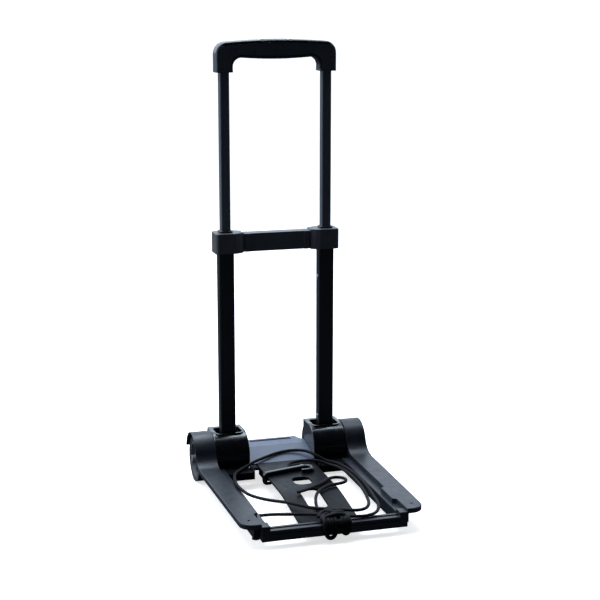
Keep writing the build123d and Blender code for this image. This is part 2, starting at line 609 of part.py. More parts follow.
YOKE_LOW, YOKE_HIGH = 912.0, 918.0
BUTTON_HALF, BUTTON_D = 25.0, 19.0
with BuildPart() as yoke:
    add_box((-TUBE_X - 4, TUBE_X + 4), (-4.0, 4.0), (YOKE_LOW, YOKE_HIGH))
save(yoke, "release_yoke")

with BuildPart() as button:
    with BuildSketch(level(YOKE_HIGH)):
        RectangleRounded(2 * BUTTON_HALF, BUTTON_D, 4.0)
    extrude(amount=HEIGHT - YOKE_HIGH)
    fillet(button.faces().sort_by(Axis.Z)[-1].edges(), 1.5)
    with BuildSketch(level(HEIGHT - 0.8)):
        Circle(4.0)
    extrude(amount=2.0, mode=Mode.SUBTRACT)
    with BuildSketch(level(YOKE_HIGH - 1)):
        with Locations((-14.0, 0), (14.0, 0)):
            Circle(3.2)
    extrude(amount=7.0, mode=Mode.SUBTRACT)
save(button, "release_button")


def grip_blank(piece, depth):
    """The whole grip as one rounded solid: two legs and a crowned bar."""
    with BuildSketch(facing(depth / 2)) as front_view:
        with BuildLine():
            Polyline((-GRIP_IN, 885.0), (-GRIP_IN, GRIP_BOTTOM), (-GRIP_OUT, GRIP_BOTTOM), (-GRIP_OUT, 911.0))
            ThreePointArc((-GRIP_OUT, 911.0), (-121.9, 928.2), (-105.0, 935.3))
            ThreePointArc((-105.0, 935.3), (0, HEIGHT - 0.6), (105.0, 935.3))
            ThreePointArc((105.0, 935.3), (121.9, 928.2), (GRIP_OUT, 911.0))
            Polyline((GRIP_OUT, 911.0), (GRIP_OUT, GRIP_BOTTOM), (GRIP_IN, GRIP_BOTTOM), (GRIP_IN, 885.0))
            ThreePointArc((GRIP_IN, 885.0), (87.2, 897.6), (74.5, 902.8))
            ThreePointArc((74.5, 902.8), (0, 899.6), (-74.5, 902.8))
            ThreePointArc((-74.5, 902.8), (-87.2, 897.6), (-GRIP_IN, 885.0))
        make_face()
    extrude(front_view.sketch, amount=depth)
    fillet(piece.faces().filter_by(Axis.Y).edges().filter_by(lambda e: e.center().Z > 874), 5.0)


def cap_region(mode):
    """The strip along the top of the handle that the cap fills."""
    with BuildSketch(facing(GRIP_DEPTH / 2 + 5)) as band:
        with BuildLine():
            ThreePointArc((-116.0, 927.0), (0, 932.6), (116.0, 927.0))
            Polyline((116.0, 927.0), (119.0, 945.0), (-119.0, 945.0), (-116.0, 927.0))
        make_face()
    extrude(band.sketch, amount=GRIP_DEPTH + 10, mode=mode)


def lower_region(mode):
    """The band along the underside that the lower trim fills."""
    with BuildSketch(facing(GRIP_DEPTH / 2 + 5)) as band:
        with BuildLine():
            Polyline((-98.5, 879.0), (-98.5, 886.0))
            ThreePointArc((-98.5, 886.0), (-91.4, 902.6), (-75.0, 909.4))
            ThreePointArc((-75.0, 909.4), (0, 906.2), (75.0, 909.4))
            ThreePointArc((75.0, 909.4), (91.4, 902.6), (98.5, 886.0))
            Polyline((98.5, 886.0), (98.5, 879.0), (60.0, 870.0), (-60.0, 870.0), (-98.5, 879.0))
        make_face()
    extrude(band.sketch, amount=GRIP_DEPTH + 10, mode=mode)


def grip_hollows():
    """The room inside for the tubes, the yoke, the button and the screws."""
    for sign in (1, -1):
        with BuildSketch(level(GRIP_BOTTOM - 1)) as bore:
            with Locations((sign * TUBE_X, 0)):
                RectangleRounded(INNER_W + 2 * TUBE_FIT, INNER_D + 2 * TUBE_FIT, INNER_R)
        extrude(bore.sketch, amount=INNER_TOP + 1 - GRIP_BOTTOM, mode=Mode.SUBTRACT)
        side_screw_hole(sign * TUBE_X, 888.0, 20.0, SCREW_R + 0.1, 14.0)
        side_screw_hole(sign * TUBE_X, 888.0, 20.0, 4.0, 6.1)
    cut_box((-TUBE_X - 5, TUBE_X + 5), (-5.0, 5.0), (YOKE_LOW - TRAVEL - 3.1, YOKE_HIGH + 1.0))
    cut_box((-BUTTON_HALF - 0.4, BUTTON_HALF + 0.4), (-BUTTON_D / 2 - 0.4, BUTTON_D / 2 + 0.4),
            (YOKE_HIGH - TRAVEL - 1.0, HEIGHT + 5))


with BuildPart() as grip_cap:
    grip_blank(grip_cap, GRIP_DEPTH)
    cap_region(Mode.INTERSECT)
    grip_hollows()
    for sign in (1, -1):
        cut_box(sorted((sign * 27.5, sign * 33.0)), (-20.0, 20.0), (937.0, 945.0))
save(grip_cap, "grip_cap")

with BuildPart() as grip_body:
    grip_blank(grip_body, GRIP_DEPTH)
    cap_region(Mode.SUBTRACT)
    lower_region(Mode.SUBTRACT)
    grip_hollows()
save(grip_body, "grip_body")

with BuildPart() as grip_underside:
    grip_blank(grip_underside, GRIP_DEPTH - 2.4)
    lower_region(Mode.INTERSECT)
    grip_hollows()
save(grip_underside, "grip_underside")

with BuildPart() as grip_screws:
    for sign in (1, -1):
        screw_along_y(sign * TUBE_X, 888.0, 16.4, 8.8)
save(grip_screws, "grip_screws")

with BuildPart() as button_springs:
    for x in (-60.0, 60.0):
        coil((x, HINGE_Y, 905.4), (0, 0, 1), 2.6, 0.45, 6.0, 4)
save(button_springs, "button_springs")

# ---------------------------------------------------------------- elastic cord
# Each route's points are (x, y from the hinge line, height). It starts at the left rail,
# passes the knot, and makes two turns of the platform before it ends in the hook.
CORD_ROUTE = [
    (-129.3, -331.0, 33.5), (-108.0, -339.0, 36.5), (-82.0, -352.0, 38.5), (-54.0, -363.0, 40.0),
    (-28.0, -377.0, 42.0), (-4.0, -390.0, 43.5), (18.0, -397.0, 42.5), (42.0, -406.0, 40.6),
    (66.0, -409.0, 39.9), (88.0, -400.0, 39.9), (104.0, -377.0, 39.8), (113.0, -345.0, 39.8),
    (118.0, -305.0, 39.8), (123.0, -260.0, 39.8), (126.0, -215.0, 39.9), (125.5, -170.0, 40.5),
    (121.0, -130.0, 40.7), (114.0, -100.0, 40.7), (104.0, -81.0, 40.8), (91.5, -71.0, 41.4),
    (79.0, -63.5, 48.6), (67.0, -53.0, 54.6), (56.0, -36.0, 56.6), (38.0, -24.0, 55.8),
    (14.0, -20.0, 54.6), (-12.0, -27.0, 53.2), (-38.0, -40.0, 51.0), (-62.0, -53.0, 49.2),
    (-86.0, -64.0, 42.4), (-101.0, -75.0, 40.8), (-115.0, -91.0, 40.8), (-124.0, -113.0, 42.0),
    (-129.5, -139.0, 43.7), (-133.5, -169.0, 43.9), (-132.5, -201.0, 44.2), (-124.5, -230.0, 42.2),
    (-107.0, -256.0, 40.8), (-86.0, -281.0, 42.0), (-64.0, -304.0, 44.8), (-42.0, -328.0, 43.8),
    (-20.0, -347.0, 42.6), (8.0, -358.0, 42.4), (36.0, -368.0, 41.2), (61.0, -376.0, 40.0),
    (82.0, -368.0, 39.8), (96.0, -342.0, 39.8), (104.0, -305.0, 39.8), (110.0, -265.0, 39.8),
    (114.0, -222.0, 39.9), (114.5, -180.0, 40.5), (111.0, -142.0, 40.7), (103.0, -112.0, 40.8),
    (88.0, -96.0, 41.6), (72.0, -88.0, 48.2), (49.0, -80.0, 49.8), (27.0, -79.0, 49.2),
    (8.0, -86.0, 49.2), (-4.0, -101.0, 49.2), (-8.0, -121.2, 49.2),
]
TAIL_ROUTE = [
    (-8.0, -380.2, 36.2), (-12.0, -358.0, 34.9), (-11.0, -334.0, 37.9), (-6.0, -308.0, 42.8),
    (3.0, -284.0, 46.8), (16.0, -265.0, 49.0), (34.0, -250.0, 49.1), (52.0, -242.0, 49.2),
    (67.0, -240.5, 49.2), (82.5, -233.5, 49.1), (88.5, -219.0, 49.0), (82.5, -204.5, 49.0),
    (67.0, -199.0, 49.2), (49.0, -209.5, 49.2), (33.0, -227.0, 49.0), (13.0, -243.0, 49.0), (-8.0, -256.0, 49.0),
    (-30.0, -265.0, 48.6),
]


def bend_radii(route):
    """The radius at each inner point: 0.45 of the shorter run over the tangent of half the turn."""
    radii = []
    for a, b, c in zip(route, route[1:], route[2:]):
        run_in = Vector(*b) - Vector(*a)
        run_out = Vector(*c) - Vector(*b)
        half_turn = math.radians(run_in.get_angle(run_out)) / 2
        radii.append(0.45 * min(run_in.length, run_out.length) / math.tan(half_turn))
    return radii


def cord_tube(route, radii):
    """A round cord along straight runs joined by tangent arcs; returns its length."""
    with BuildLine() as path:
        FilletPolyline(*[(x, y + HINGE_Y, z) for x, y, z in route], radius=radii)
    with BuildSketch(Plane(origin=path.line @ 0, z_dir=path.line % 0)) as section:
        Circle(CORD_D / 2)
    sweep(section.sketch, path=path.wire())
    return path.wire().length


for name, route in (("bungee_cord", CORD_ROUTE), ("bungee_tail", TAIL_ROUTE)):
    radii = bend_radii(route)
    with BuildPart() as cord:
        length = cord_tube(route, radii)
    save(cord, name)
    share = cord.part.volume / (length * math.pi * (CORD_D / 2) ** 2)
    print(name, "length", round(length), "volume over section times length", round(share, 4))
    print("  radii", [round(r) for r in radii])

LOOP_Y = FRONT - 3.9
LOOPS = ((-21.5, 1.5, 11.0), (12.0, 26.0, 6.9))
with BuildPart() as knot:
    add_box((-20.0, 24.0), (-411.0, -380.4), (36.4, 49.0))
    fillet(knot.edges(), 5.5)
    for left, right, bend in LOOPS:
        loop = [(left, -402.0, 43.2), (left, LOOP_Y, 43.2), (left, LOOP_Y, 7.6),
                (right, LOOP_Y, 7.6), (right, LOOP_Y, 43.2), (right, -402.0, 43.2)]
        cord_tube(loop, [8.0, bend, bend, 8.0])
save(knot, "bungee_knot")

# The hook lies on the tongue: a long shank with a claw over the left edge, and a round bend at the right.
HOOK_LOW, HOOK_TOP, CLAW_X = 45.4, 54.4, -61.6
with BuildPart() as hook:
    with BuildSketch(level(HOOK_LOW)):
        with BuildLine():
            Polyline((30.0, -113.0), (-60.0, -135.5), (-68.6, -138.5), (-68.6, -149.0), (-60.0, -147.0),
                     (30.0, -123.0), close=True)
        make_face()
        with BuildLine():
            Line((29.0, -123.0), (29.0, -113.0))
            ThreePointArc((29.0, -113.0), (47.0, -131.0), (29.0, -149.0))
            Polyline((29.0, -149.0), (14.0, -146.0), (14.0, -138.5), (29.0, -139.0))
            ThreePointArc((29.0, -139.0), (37.0, -131.0), (29.0, -123.0))
        make_face()
    extrude(amount=HOOK_TOP - HOOK_LOW)
    add_box((CLAW_X - 7.0, CLAW_X), (-149.0, -138.5), (27.0, HOOK_TOP))
    add_box((CLAW_X - 7.0, CLAW_X + 9.0), (-149.0, -138.5), (27.0, 32.5))
save(hook, "bungee_hook")
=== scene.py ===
import math

import bmesh
import bpy
from mathutils import Matrix, Vector


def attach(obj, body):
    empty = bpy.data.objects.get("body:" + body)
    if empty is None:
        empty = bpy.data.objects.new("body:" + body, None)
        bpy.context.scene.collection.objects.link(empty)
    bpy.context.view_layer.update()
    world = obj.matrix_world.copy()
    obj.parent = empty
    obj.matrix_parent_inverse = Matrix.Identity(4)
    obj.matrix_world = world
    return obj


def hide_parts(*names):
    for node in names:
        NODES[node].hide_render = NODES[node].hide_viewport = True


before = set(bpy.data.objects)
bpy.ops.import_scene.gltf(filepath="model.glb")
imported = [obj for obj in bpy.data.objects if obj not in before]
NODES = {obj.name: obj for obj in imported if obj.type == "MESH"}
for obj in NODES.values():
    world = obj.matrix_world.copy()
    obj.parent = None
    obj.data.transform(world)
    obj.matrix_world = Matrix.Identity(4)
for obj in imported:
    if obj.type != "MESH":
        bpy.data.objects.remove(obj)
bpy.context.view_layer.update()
MM = 0.001
HINGE_Y = 180.0
SIDES = ("left", "right")


def at(x, y, z):
    """A point in metres from millimetres, with y measured from the hinge line."""
    return Vector((x * MM, (y + HINGE_Y) * MM, z * MM))


# ---------------------------------------------------------------- camera
VIEW_DIRECTION = Vector((0.2803, 0.9359, -0.2133)).normalized()
VIEW_RIGHT = Vector((0.95796, -0.28690, 0.0)).normalized()
VIEW_UP = VIEW_RIGHT.cross(VIEW_DIRECTION)
camera = bpy.data.objects.new("camera", bpy.data.cameras.new("camera"))
camera.data.lens = 87.83
camera.data.sensor_width = 36.0
camera.data.clip_end = 300.0
camera.matrix_world = Matrix.Translation(at(-829.6, -2950.7, 1057.5)) @ Matrix(
    (VIEW_RIGHT, VIEW_UP, -VIEW_DIRECTION)).transposed().to_4x4()
bpy.context.scene.collection.objects.link(camera)
bpy.context.scene.camera = camera

# ---------------------------------------------------------------- elastic cord
CORD_D = 6.5
CORD_ROUTE = [
    (-129.3, -331.0, 33.5), (-108.0, -339.0, 36.5), (-82.0, -352.0, 38.5), (-54.0, -363.0, 40.0),
    (-28.0, -377.0, 42.0), (-4.0, -390.0, 43.5), (18.0, -397.0, 42.5), (42.0, -406.0, 40.6),
    (66.0, -409.0, 39.9), (88.0, -400.0, 39.9), (104.0, -377.0, 39.8), (113.0, -345.0, 39.8),
    (118.0, -305.0, 39.8), (123.0, -260.0, 39.8), (126.0, -215.0, 39.9), (125.5, -170.0, 40.5),
    (121.0, -130.0, 40.7), (114.0, -100.0, 40.7), (104.0, -81.0, 40.8), (91.5, -71.0, 41.4),
    (79.0, -63.5, 48.6), (67.0, -53.0, 54.6), (56.0, -36.0, 56.6), (38.0, -24.0, 55.8),
    (14.0, -20.0, 54.6), (-12.0, -27.0, 53.2), (-38.0, -40.0, 51.0), (-62.0, -53.0, 49.2),
    (-86.0, -64.0, 42.4), (-101.0, -75.0, 40.8), (-115.0, -91.0, 40.8), (-123.5, -113.0, 41.5),
    (-129.5, -139.0, 43.7), (-133.5, -169.0, 43.9), (-132.5, -201.0, 44.2), (-124.0, -230.0, 41.4),
    (-107.0, -256.0, 40.8), (-86.0, -281.0, 42.0), (-64.0, -304.0, 44.8), (-42.0, -328.0, 43.8),
    (-20.0, -347.0, 42.6), (8.0, -358.0, 42.4), (36.0, -368.0, 41.2), (61.0, -376.0, 40.0),
    (82.0, -368.0, 39.8), (96.0, -342.0, 39.8), (104.0, -305.0, 39.8), (110.0, -265.0, 39.8),
    (114.0, -222.0, 39.9), (114.5, -180.0, 40.5), (111.0, -142.0, 40.7), (103.0, -112.0, 40.8),
    (88.0, -96.0, 41.6), (72.0, -88.0, 48.2), (49.0, -80.0, 49.8), (27.0, -79.0, 49.2),
    (8.0, -86.0, 49.2), (-4.0, -101.0, 49.2), (-8.0, -121.2, 49.2),
]
TAIL_ROUTE = [
    (-8.0, -380.2, 36.2), (-12.0, -358.0, 34.9), (-11.0, -334.0, 37.9), (-6.0, -308.0, 42.8),
    (3.0, -284.0, 46.8), (16.0, -265.0, 49.0), (34.0, -250.0, 49.1), (52.0, -242.0, 49.2),
    (67.0, -240.5, 49.2), (82.5, -233.5, 49.1), (88.5, -219.0, 49.0), (82.5, -204.5, 49.0),
    (67.0, -199.0, 49.2), (49.0, -209.5, 49.2), (33.0, -227.0, 49.0), (13.0, -243.0, 49.0),
    (-8.0, -256.0, 49.0),
    (-30.0, -265.0, 48.6),
]
BRAID_DEPTH = 0.28      # height of one strand above the gaps of the braid
BRAID_PITCH = 13.0      # length of cord in which a strand goes once round
BRAID_STRANDS = 8       # strands that run each way
AROUND = 32             # points round the cord
CORD_STEPS = 26         # points of a cord's line for each of its control points
KNOT_STEPS = 20


def nurbs_line(name, points, steps, cyclic=False):
    """The points of a smooth NURBS line through these control points, in metres."""
    curve = bpy.data.curves.new(name, "CURVE")
    curve.dimensions = "3D"
    curve.resolution_u = steps
    spline = curve.splines.new("NURBS")
    spline.points.add(len(points) - 1)
    for target, point in zip(spline.points, points):
        target.co = (*at(*point), 1.0)
    spline.order_u = 3
    spline.use_endpoint_u = not cyclic
    spline.use_cyclic_u = cyclic
    holder = bpy.data.objects.new(name, curve)
    line = bpy.data.meshes.new_from_object(holder)
    found = [v.co.copy() for v in line.vertices]
    bpy.data.objects.remove(holder)
    bpy.data.meshes.remove(line)
    return found


def side_frames(line):
    """Two directions across the line at each point, carried along it without twist."""
    across = []
    normal = None
    for i in range(len(line)):
        ahead = (line[min(i + 1, len(line) - 1)] - line[max(i - 1, 0)]).normalized()
        if normal is None:
            start = Vector((0, 0, 1)) if abs(ahead.z) < 0.9 else Vector((1, 0, 0))
            normal = start
        normal = (normal - ahead * normal.dot(ahead)).normalized()
        across.append((normal.copy(), ahead.cross(normal)))
    return across


def braided_tube(name, line, material, diameter=CORD_D):
    """A cord with a braided sleeve, whose strands stand up as real shape, along this line."""
    verts, faces = [], []
    run = 0.0
    radius = diameter * MM / 2
    twist = 2 * math.pi / (BRAID_PITCH * MM)
    for i, (point, (u, v)) in enumerate(zip(line, side_frames(line))):
        if i:
            run += (point - line[i - 1]).length
        for k in range(AROUND):
            angle = 2 * math.pi * k / AROUND
            one = abs(math.sin(BRAID_STRANDS / 2 * (angle + twist * run)))
            two = abs(math.sin(BRAID_STRANDS / 2 * (angle - twist * run)))
            swell = radius - BRAID_DEPTH * MM * (1 - max(one, two)) * 2
            verts.append(point + (u * math.cos(angle) + v * math.sin(angle)) * swell)
    rings = len(line)
    for i in range(rings - 1):
        for k in range(AROUND):
            a, b = i * AROUND + k, i * AROUND + (k + 1) % AROUND
            faces.append((a, b, b + AROUND, a + AROUND))
    faces.append(tuple(reversed(range(AROUND))))
    faces.append(tuple(range((rings - 1) * AROUND, rings * AROUND)))
    mesh = bpy.data.meshes.new(name)
    mesh.from_pydata([tuple(v) for v in verts], [], faces)
    mesh.materials.append(material)
    for polygon in mesh.polygons:
        polygon.use_smooth = len(polygon.vertices) == 4
    piece = bpy.data.objects.new(name, mesh)
    bpy.context.scene.collection.objects.link(piece)
    return piece


# ---------------------------------------------------------------- materials
class Nodes:
    """A material's node tree, with short calls to add and join nodes."""

    def __init__(self, name):
        self.material = bpy.data.materials.new(name)
        self.material.use_nodes = True
        self.tree = self.material.node_tree
        self.shader = self.tree.nodes["Principled BSDF"]
        self.place = self.add("ShaderNodeTexCoord").outputs["Object"]

    def add(self, kind, **settings):
        node = self.tree.nodes.new(kind)
        for key, value in settings.items():
            setattr(node, key, value)
        return node

    def join(self, source, target):
        self.tree.links.new(source, target)

    def noise(self, scale, detail=2.0, roughness=0.5, stretch=None):
        node = self.add("ShaderNodeTexNoise")
        node.inputs["Scale"].default_value = scale
        node.inputs["Detail"].default_value = detail
        node.inputs["Roughness"].default_value = roughness
        place = self.place
        if stretch:
            mapping = self.add("ShaderNodeMapping")
            mapping.inputs["Scale"].default_value = stretch
            self.join(place, mapping.inputs["Vector"])
            place = mapping.outputs["Vector"]
        self.join(place, node.inputs["Vector"])
        return node.outputs["Fac"]

    def spread(self, value, low, high, from_low=0.3, from_high=0.7):
        node = self.add("ShaderNodeMapRange")
        node.inputs["From Min"].default_value = from_low
        node.inputs["From Max"].default_value = from_high
        node.inputs["To Min"].default_value = low
        node.inputs["To Max"].default_value = high
        self.join(value, node.inputs["Value"])
        return node.outputs["Result"]

    def mix(self, factor, first, second):
        node = self.add("ShaderNodeMix", data_type="RGBA")
        self.join(factor, node.inputs["Factor"])
        for value, socket in ((first, node.inputs["A"]), (second, node.inputs["B"])):
            if isinstance(value, tuple):
                socket.default_value = (*value, 1.0)
            else:
                self.join(value, socket)
        return node.outputs["Result"]


def shade(colour, amount):
    return tuple(c * amount for c in colour)


def surface(name, colour, rough, edge_wear_and_highlight=(0.10, 0.11, 0.13), edge_wear_and_highlight_amount=0.35, grain=1100.0,
            grain_height=0.00004, grain_strength=0.5, variation=0.22, rough_variation=0.07,
            round_edges=0.0011, metallic=0.0, specular=0.5, coat=0.0, coat_rough=0.2,
            streaks=None, sheen=0.0):
    """A moulded, painted or metal finish: fine grain, uneven tone and gloss, and edges lightened as wear
    and as a painted highlight.
    """
    n = Nodes(name)
    tone = n.spread(n.noise(9.0, 4.0, 0.6), 0.0, 1.0)
    body = n.mix(tone, shade(colour, 1 - variation), shade(colour, 1 + variation))
    if streaks:
        drawn = n.spread(n.noise(60.0, 3.0, 0.6, streaks), 0.0, 0.5, 0.45, 0.75)
        body = n.mix(drawn, body, shade(colour, 1.9))
    rounded = n.add("ShaderNodeBevel", samples=6)
    rounded.inputs["Radius"].default_value = round_edges
    straight = n.add("ShaderNodeNewGeometry")
    closeness = n.add("ShaderNodeVectorMath", operation="DOT_PRODUCT")
    n.join(rounded.outputs["Normal"], closeness.inputs[0])
    n.join(straight.outputs["Normal"], closeness.inputs[1])
    # Edges are mixed towards the edge colour: partly wear, partly a painted highlight.
    wear_and_highlight = n.spread(closeness.outputs["Value"], edge_wear_and_highlight_amount, 0.0, 0.80, 0.995)
    patchy = n.add("ShaderNodeMath", operation="MULTIPLY")
    n.join(wear_and_highlight, patchy.inputs[0])
    n.join(n.spread(n.noise(45.0, 3.0, 0.7), 0.25, 1.0), patchy.inputs[1])
    n.join(n.mix(patchy.outputs["Value"], body, edge_wear_and_highlight), n.shader.inputs["Base Color"])
    n.join(n.spread(n.noise(70.0, 3.0, 0.6), rough - rough_variation, rough + rough_variation),
           n.shader.inputs["Roughness"])
    bump = n.add("ShaderNodeBump")
    bump.inputs["Distance"].default_value = grain_height
    bump.inputs["Strength"].default_value = grain_strength
    n.join(n.noise(grain, 2.0, 0.5), bump.inputs["Height"])
    n.join(rounded.outputs["Normal"], bump.inputs["Normal"])
    n.join(bump.outputs["Normal"], n.shader.inputs["Normal"])
    n.shader.inputs["Metallic"].default_value = metallic
    n.shader.inputs["Specular IOR Level"].default_value = specular
    n.shader.inputs["Coat Weight"].default_value = coat
    n.shader.inputs["Coat Roughness"].default_value = coat_rough
    if sheen:
        n.shader.inputs["Sheen Weight"].default_value = sheen
        n.shader.inputs["Sheen Roughness"].default_value = 0.5
    return n.material


MOULDED = surface("moulded_black", (0.011, 0.0132, 0.0205), 0.38, edge_wear_and_highlight=(0.09, 0.11, 0.15))
DECK = surface("deck_black", (0.004, 0.0046, 0.0065), 0.38, specular=0.12, edge_wear_and_highlight=(0.05, 0.055, 0.07))
PANEL = surface("panel_grey", (0.085, 0.105, 0.155), 0.42)
# The bracket's base is its own dark tone, lightened further as painted light standing in for fill light on
# its front.
BRACKET = surface("bracket_black", (0.075, 0.078, 0.086), 0.42)
GLOSS = surface("gloss_black", (0.004, 0.0045, 0.006), 0.20, grain_strength=0.12, coat=0.4, coat_rough=0.08)
# The grip's base is its own dark tone, lightened further as painted light standing in for fill light on its
# front.
GRIP = surface("grip_black", (0.050, 0.055, 0.066), 0.32, grain=1500.0)
TRIM = surface("grip_trim", (0.006, 0.0065, 0.009), 0.45, grain=1500.0)
CAP = surface("grip_cap", (0.005, 0.0055, 0.007), 0.25, grain_strength=0.15)
BUTTON = surface("button_black", (0.006, 0.006, 0.008), 0.22, grain_strength=0.15, coat=0.3)
OUTER = surface("outer_tube_paint", (0.005, 0.0055, 0.007), 0.30, grain=500.0, grain_strength=0.12,
                variation=0.12, rough_variation=0.02,
                streaks=(1.0, 1.0, 0.03), round_edges=0.0005)
# The inner tubes' base is their dark grey paint, lightened further as painted light standing in for light
# on their fronts.
INNER = surface("inner_tube_paint", (0.095, 0.108, 0.130), 0.34, grain=500.0, grain_strength=0.12,
                variation=0.08, rough_variation=0.02, streaks=(1.0, 1.0, 0.03), round_edges=0.0005)
NYLON = surface("guide_nylon", (0.010, 0.011, 0.013), 0.35)
# The front bar and deck are a little darker than the wings, and the bar's edges are lightened more, as wear
# and as a painted highlight.
BAR = surface("front_bar_black", (0.007, 0.0085, 0.013), 0.36, edge_wear_and_highlight=(0.09, 0.11, 0.15), edge_wear_and_highlight_amount=0.5)
STEEL = surface("steel", (0.42, 0.43, 0.45), 0.28, metallic=1.0, edge_wear_and_highlight=(0.6, 0.6, 0.62), grain=400.0,
                grain_strength=0.2, round_edges=0.0004)
SPRING = surface("spring_steel", (0.30, 0.31, 0.33), 0.30, metallic=1.0, round_edges=0.0002)
SCREW = surface("screw_steel", (0.10, 0.10, 0.11), 0.35, metallic=1.0, edge_wear_and_highlight=(0.4, 0.4, 0.42),
                round_edges=0.0003)
HUB = surface("hub_grey", (0.16, 0.165, 0.175), 0.40, edge_wear_and_highlight=(0.30, 0.31, 0.33))
TYRE = surface("tyre_rubber", (0.012, 0.012, 0.013), 0.62, grain=700.0, grain_strength=0.8, sheen=0.15)
FOOT = surface("foot_rubber", (0.014, 0.014, 0.015), 0.65, grain=700.0, grain_strength=0.8)
HOOK = surface("hook_plastic", (0.006, 0.0065, 0.008), 0.20, grain_strength=0.15, coat=0.4, coat_rough=0.1)


def cord_material():
    """A woven elastic sleeve: dark yarn of uneven tone, with a weak sheen."""
    n = Nodes("cord_braid")
    yarn = n.spread(n.noise(2600.0, 2.0, 0.6), 0.0, 1.0)
    n.join(n.mix(yarn, (0.0015, 0.0016, 0.002), (0.006, 0.0064, 0.0075)), n.shader.inputs["Base Color"])
    n.join(n.spread(n.noise(300.0, 2.0), 0.55, 0.75), n.shader.inputs["Roughness"])
    bump = n.add("ShaderNodeBump")
    bump.inputs["Distance"].default_value = 0.00008
    bump.inputs["Strength"].default_value = 0.6
    n.join(n.noise(2600.0, 2.0, 0.6), bump.inputs["Height"])
    n.join(bump.outputs["Normal"], n.shader.inputs["Normal"])
    n.shader.inputs["Sheen Weight"].default_value = 0.03
    n.shader.inputs["Sheen Roughness"].default_value = 0.4
    n.shader.inputs["Specular IOR Level"].default_value = 0.22
    return n.material


BRAID = cord_material()

# ---------------------------------------------------------------- cord pieces
cord_line = nurbs_line("cord_line", CORD_ROUTE, CORD_STEPS)
cord = braided_tube("elastic_cord", cord_line, BRAID)
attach(cord, "platform")
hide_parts("bungee_cord")
tail_line = nurbs_line("tail_line", TAIL_ROUTE, CORD_STEPS)
tail = braided_tube("elastic_tail", tail_line, BRAID)
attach(tail, "platform")
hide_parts("bungee_tail")

# Two loops hang over the front bar, each with a smaller one inside it, and the turns bind them.
KNOT_TURNS = {
    "knot_loop_large": [
        (-10, -396, 46), (-22, -404, 46.5), (-24, -419, 48), (-23.5, -429, 42), (-23, -429, 28),
        (-20, -428.6, 14), (-12, -428.4, 9.5), (-4, -428.6, 14), (-1, -429, 28), (-1.5, -429, 42),
        (-2, -419, 48), (-1, -404, 47), (6, -394, 45)],
    "knot_loop_inner": [
        (-12, -404, 46), (-15.5, -419, 47.5), (-15, -428.5, 41), (-14.5, -428.5, 26), (-12, -428.3, 20),
        (-9.5, -428.5, 26), (-9, -428.5, 41), (-9, -419, 47.5), (-6, -404, 46)],
    "knot_loop_small": [
        (2, -398, 46), (11, -405, 47), (11.5, -419, 48), (9.5, -429, 42), (9.5, -429, 32),
        (12, -428.6, 20), (18.5, -428.4, 15.5), (25, -428.6, 20), (27, -429, 32), (26, -429, 42),
        (24, -419, 48), (22, -405, 46.5), (14, -394, 44)],
    "knot_loop_short": [
        (16, -404, 46), (17, -419, 47.5), (16.5, -428.5, 41), (17, -428.5, 30), (18.5, -428.3, 25.5),
        (20, -428.5, 30), (20.5, -428.5, 41), (20, -419, 47.5), (20, -404, 46)],
    "knot_turn_back": [
        (-26, -392, 41), (-18, -385, 47), (-4, -384, 50), (10, -387, 50), (22, -394, 47), (27, -402, 41)],
    "knot_turn_front": [
        (-25, -405, 41), (-17, -411, 48), (-2, -413, 53), (10, -408, 54), (21, -399, 50), (26, -391, 41)],
    "knot_turn_cross": [
        (-15, -382, 40), (-14, -388, 51), (-8, -397, 55), (-2, -406, 54), (5, -413, 49), (8, -418, 44)],
    "knot_turn_wrap": [
        (-26, -413, 44), (-18, -416, 50), (-4, -417.5, 53.5), (10, -417, 53.5), (20, -415, 49),
        (27, -411, 44)],
    "knot_turn_under": [
        (-24, -398, 43), (-12, -400, 50), (2, -401, 52), (14, -403, 51), (24, -408, 44)],
}
KNOT_D = 8.4            # drawn thicker than the cord, to close the gaps between the turns
for name, points in KNOT_TURNS.items():
    piece = braided_tube(name, nurbs_line(name + "_line", points, KNOT_STEPS), BRAID, KNOT_D)
    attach(piece, "platform")
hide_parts("bungee_knot")


def solid_mesh(name, bm, material):
    """A smooth closed mesh object from a bmesh."""
    bmesh.ops.recalc_face_normals(bm, faces=bm.faces)
    mesh = bpy.data.meshes.new(name)
    bm.to_mesh(mesh)
    bm.free()
    mesh.materials.append(material)
    for polygon in mesh.polygons:
        polygon.use_smooth = True
    piece = bpy.data.objects.new(name, mesh)
    bpy.context.scene.collection.objects.link(piece)
    return piece


# ---------------------------------------------------------------- hook
HOOK_SIDE = Vector((0.26, -0.966, 0.0)).normalized()


def sweep_section(line, section_at, flat):
    """A closed solid swept along a line; each ring's width lies level (flat) or along HOOK_SIDE."""
    bm = bmesh.new()
    rings = []
    count = len(line)
    for i, point in enumerate(line):
        ahead = (line[min(i + 1, count - 1)] - line[max(i - 1, 0)]).normalized()
        side = ahead.cross(Vector((0, 0, 1))).normalized() if flat else HOOK_SIDE
        up = side.cross(ahead).normalized()
        rings.append([bm.verts.new(point + side * a + up * b) for a, b in section_at(i / (count - 1))])
    for first, second in zip(rings, rings[1:]):
        for k in range(len(first)):
            j = (k + 1) % len(first)
            bm.faces.new((first[k], first[j], second[j], second[k]))
    bm.faces.new(list(reversed(rings[0])))
    bm.faces.new(rings[-1])
    return bm


def rounded_section(width, height, steps=24):
    """A rounded rectangle as a superellipse, in metres."""
    ring = []
    for k in range(steps):
        angle = 2 * math.pi * k / steps
        c, s = math.cos(angle), math.sin(angle)
        ring.append((width / 2 * math.copysign(abs(c) ** 0.5, c) * MM,
                     height / 2 * math.copysign(abs(s) ** 0.5, s) * MM))
    return ring


